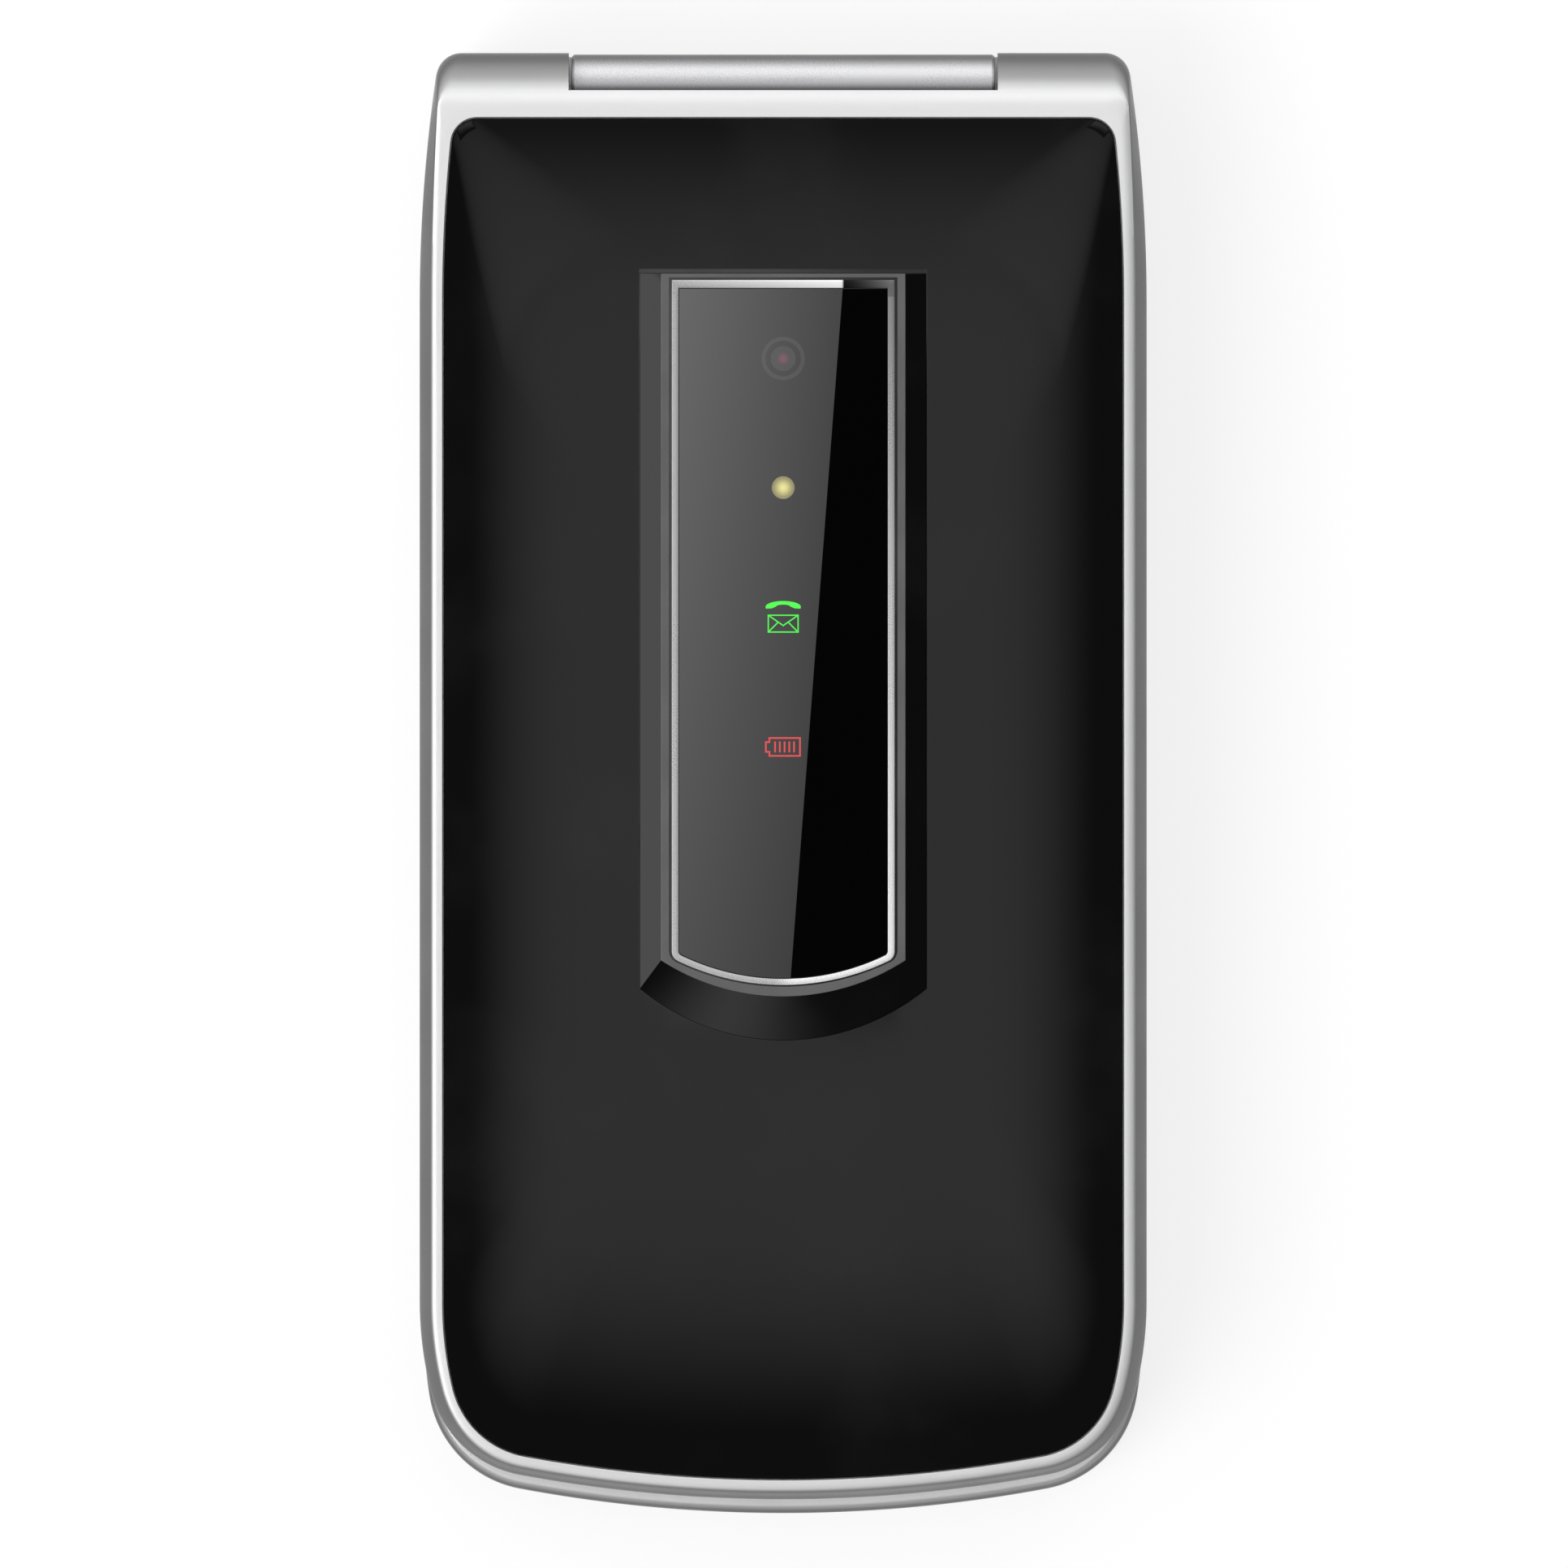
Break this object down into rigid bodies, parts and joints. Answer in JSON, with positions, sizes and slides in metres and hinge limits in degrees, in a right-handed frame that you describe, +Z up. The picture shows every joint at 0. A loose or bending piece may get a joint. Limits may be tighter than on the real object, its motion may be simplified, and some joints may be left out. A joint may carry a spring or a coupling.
{
  "type": "flip phone",
  "caption": "Clamshell mobile phone with a large-key pad, a display in the lid, an outer indicator strip and a sliding battery cover.",
  "frame": {"origin": "under the middle of the closed phone, on the plane its back rests on", "axes": "+X across the phone, +Y towards the hinge, +Z up through the lid"},
  "size_m": [0.0538, 0.1082, 0.0208],
  "materials": {
    "silver_paint": "silver paint, satin, fine metallic flake",
    "barrel_silver": "silver paint with a cool tint, glossy",
    "soft_black": "black moulding, fine spark texture",
    "gloss_black": "high gloss black",
    "key_black": "semi gloss black keys with white figures",
    "sos_orange": "orange, satin",
    "chrome_trim": "bright plated trim",
    "strip_glass": "dark tinted clear window",
    "display_glass": "clear window with black border",
    "lens_glass": "coated lens",
    "led_light": "pale light guides",
    "display_body": "display panel in its frame",
    "circuit_green": "green solder mask",
    "dome_film": "clear film with steel domes",
    "battery_wrap": "dark grey wrap",
    "gold_contact": "gold flash",
    "plain_steel": "plain nickel-plated steel",
    "black_moulding": "black moulding",
    "flex_amber": "amber polyimide film",
    "bumper_rubber": "dark grey rubber"
  },
  "bodies": {
    "base": {"base_front_housing": "silver_paint", "base_rear_housing": "soft_black", "keypad_faceplate": "gloss_black", "dome_sheet": "dome_film", "main_circuit_board": "circuit_green", "battery": "battery_wrap", "battery_contacts": "gold_contact", "sim_card_holder": "plain_steel", "ringer_speaker": "black_moulding", "vibration_motor": "plain_steel", "microphone": "plain_steel", "usb_port": "plain_steel", "headphone_jack": "black_moulding", "dock_contacts": "gold_contact", "hinge_barrel": "barrel_silver", "hinge_cartridge_case": "plain_steel", "hinge_cartridge_spring": "plain_steel", "hinge_flex": "flex_amber", "base_screws": "plain_steel"},
    "lid": {"lid_frame": "silver_paint", "lid_inner_housing": "silver_paint", "lid_cover_panel": "gloss_black", "window_surround": "gloss_black", "window_trim": "chrome_trim", "indicator_window": "strip_glass", "camera_module": "gloss_black", "camera_lens": "lens_glass", "flash_led": "led_light", "indicator_leds": "led_light", "lid_circuit_board": "circuit_green", "display_module": "display_body", "display_window": "display_glass", "earpiece_speaker": "black_moulding", "earpiece_mesh": "plain_steel", "lid_bumpers": "bumper_rubber", "lid_screws": "plain_steel", "hinge_cam_shaft": "plain_steel", "hinge_sleeve": "barrel_silver"},
    "key_1_body": {"key_1": "key_black"},
    "key_2_body": {"key_2": "key_black"},
    "key_3_body": {"key_3": "key_black"},
    "key_4_body": {"key_4": "key_black"},
    "key_5_body": {"key_5": "key_black"},
    "key_6_body": {"key_6": "key_black"},
    "key_7_body": {"key_7": "key_black"},
    "key_8_body": {"key_8": "key_black"},
    "key_9_body": {"key_9": "key_black"},
    "key_star_body": {"key_star": "key_black"},
    "key_0_body": {"key_0": "key_black"},
    "key_hash_body": {"key_hash": "key_black"},
    "soft_key_left_body": {"soft_key_left": "key_black"},
    "soft_key_right_body": {"soft_key_right": "key_black"},
    "call_key_body": {"call_key": "key_black"},
    "end_key_body": {"end_key": "key_black"},
    "ok_key_body": {"ok_key": "key_black"},
    "navigation_pivot_body": {"navigation_pivot": "soft_black"},
    "navigation_ring_body": {"navigation_ring": "silver_paint"},
    "volume_rocker_body": {"volume_rocker": "silver_paint"},
    "sos_button_body": {"sos_button": "sos_orange"},
    "battery_cover_body": {"battery_cover": "soft_black"}
  },
  "joints": [
    {"name": "lid_hinge", "type": "hinge", "parent": "base", "child": "lid", "pos_m": [0, 0.0498, 0.014], "axis": [-1, 0, 0], "range_deg": [0, 160]},
    {"name": "key_1_press", "type": "slide", "parent": "base", "child": "key_1_body", "axis": [0, 0, -1], "range_m": [0, 0.0004], "stiffness_N_per_m": 300},
    {"name": "key_2_press", "type": "slide", "parent": "base", "child": "key_2_body", "axis": [0, 0, -1], "range_m": [0, 0.0004], "stiffness_N_per_m": 300},
    {"name": "key_3_press", "type": "slide", "parent": "base", "child": "key_3_body", "axis": [0, 0, -1], "range_m": [0, 0.0004], "stiffness_N_per_m": 300},
    {"name": "key_4_press", "type": "slide", "parent": "base", "child": "key_4_body", "axis": [0, 0, -1], "range_m": [0, 0.0004], "stiffness_N_per_m": 300},
    {"name": "key_5_press", "type": "slide", "parent": "base", "child": "key_5_body", "axis": [0, 0, -1], "range_m": [0, 0.0004], "stiffness_N_per_m": 300},
    {"name": "key_6_press", "type": "slide", "parent": "base", "child": "key_6_body", "axis": [0, 0, -1], "range_m": [0, 0.0004], "stiffness_N_per_m": 300},
    {"name": "key_7_press", "type": "slide", "parent": "base", "child": "key_7_body", "axis": [0, 0, -1], "range_m": [0, 0.0004], "stiffness_N_per_m": 300},
    {"name": "key_8_press", "type": "slide", "parent": "base", "child": "key_8_body", "axis": [0, 0, -1], "range_m": [0, 0.0004], "stiffness_N_per_m": 300},
    {"name": "key_9_press", "type": "slide", "parent": "base", "child": "key_9_body", "axis": [0, 0, -1], "range_m": [0, 0.0004], "stiffness_N_per_m": 300},
    {"name": "key_star_press", "type": "slide", "parent": "base", "child": "key_star_body", "axis": [0, 0, -1], "range_m": [0, 0.0004], "stiffness_N_per_m": 300},
    {"name": "key_0_press", "type": "slide", "parent": "base", "child": "key_0_body", "axis": [0, 0, -1], "range_m": [0, 0.0004], "stiffness_N_per_m": 300},
    {"name": "key_hash_press", "type": "slide", "parent": "base", "child": "key_hash_body", "axis": [0, 0, -1], "range_m": [0, 0.0004], "stiffness_N_per_m": 300},
    {"name": "soft_key_left_press", "type": "slide", "parent": "base", "child": "soft_key_left_body", "axis": [0, 0, -1], "range_m": [0, 0.0004], "stiffness_N_per_m": 300},
    {"name": "soft_key_right_press", "type": "slide", "parent": "base", "child": "soft_key_right_body", "axis": [0, 0, -1], "range_m": [0, 0.0004], "stiffness_N_per_m": 300},
    {"name": "call_key_press", "type": "slide", "parent": "base", "child": "call_key_body", "axis": [0, 0, -1], "range_m": [0, 0.0004], "stiffness_N_per_m": 300},
    {"name": "end_key_press", "type": "slide", "parent": "base", "child": "end_key_body", "axis": [0, 0, -1], "range_m": [0, 0.0004], "stiffness_N_per_m": 300},
    {"name": "ok_key_press", "type": "slide", "parent": "base", "child": "ok_key_body", "axis": [0, 0, -1], "range_m": [0, 0.0004], "stiffness_N_per_m": 300},
    {"name": "navigation_up_down", "type": "hinge", "parent": "base", "child": "navigation_pivot_body", "pos_m": [0, 0.027, 0.0082], "axis": [1, 0, 0], "range_deg": [-1.5, 1.5], "stiffness_Nm_per_rad": 0.3},
    {"name": "navigation_left_right", "type": "hinge", "parent": "navigation_pivot_body", "child": "navigation_ring_body", "pos_m": [0, 0.027, 0.00872], "axis": [0, 1, 0], "range_deg": [-1.5, 1.5], "stiffness_Nm_per_rad": 0.3},
    {"name": "volume_rock", "type": "hinge", "parent": "base", "child": "volume_rocker_body", "pos_m": [-0.0244, 0.025, 0.0053], "axis": [0, 0, 1], "range_deg": [-2.5, 2.5], "stiffness_Nm_per_rad": 0.15},
    {"name": "sos_press", "type": "slide", "parent": "base", "child": "sos_button_body", "axis": [0, 0, 1], "range_m": [0, 0.0004], "stiffness_N_per_m": 300},
    {"name": "battery_cover_slide", "type": "slide", "parent": "base", "child": "battery_cover_body", "axis": [0, -1, 0], "range_m": [0, 0.07]}
  ]
}
